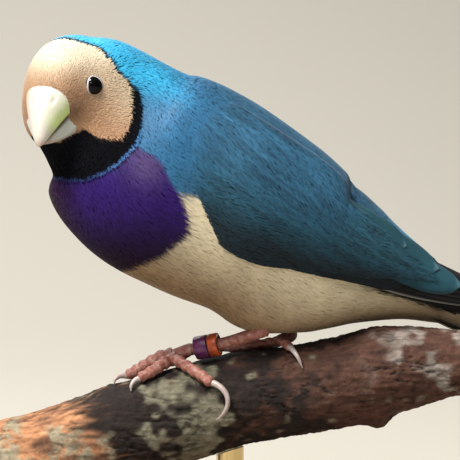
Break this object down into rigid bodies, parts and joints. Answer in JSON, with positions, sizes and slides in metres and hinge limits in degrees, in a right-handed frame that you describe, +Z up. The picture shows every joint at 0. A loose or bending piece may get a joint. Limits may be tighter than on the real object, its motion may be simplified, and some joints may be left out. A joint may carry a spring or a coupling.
{
  "type": "gouldian finch",
  "caption": "Life-size still model of a blue-backed Gouldian finch gripping a short cut branch, held by a short rod on a flat wooden display base.",
  "frame": {"origin": "middle of the flat underside of the stand's base", "axes": "+X runs from the bird's head towards its tail, +Y away from the side that is shown, +Z up"},
  "size_m": [0.13, 0.062, 0.0927],
  "materials": {
    "face_plumage": "soft short tan, black and turquoise feathers",
    "back_plumage": "silky blue feathers",
    "belly_plumage": "soft cream feathers, violet on the breast",
    "flight_feathers": "smooth dark teal and black feathers",
    "eye": "wet gloss",
    "bill": "ivory horn, satin",
    "leg_skin": "pink scaly skin, satin",
    "claw": "pale horn, satin",
    "band_purple": "worn gloss",
    "band_orange": "worn gloss",
    "bark": "rough bark with grey lichen",
    "base_wood": "waxed dark wood",
    "rod_brass": "satin"
  },
  "bodies": {
    "root": {"head": "face_plumage", "neck": "back_plumage", "torso": "belly_plumage", "rump": "back_plumage", "tail": "flight_feathers", "wing_left": "flight_feathers", "wing_right": "flight_feathers", "eye_left": "eye", "eye_right": "eye", "bill_upper": "bill", "bill_lower": "bill", "shank_left": "leg_skin", "shank_right": "leg_skin", "foot_left": "leg_skin", "foot_right": "leg_skin", "leg_band_purple": "band_purple", "leg_band_orange": "band_orange", "perch": "bark", "stand_base": "base_wood", "stand_rod": "rod_brass"}
  },
  "joints": []
}
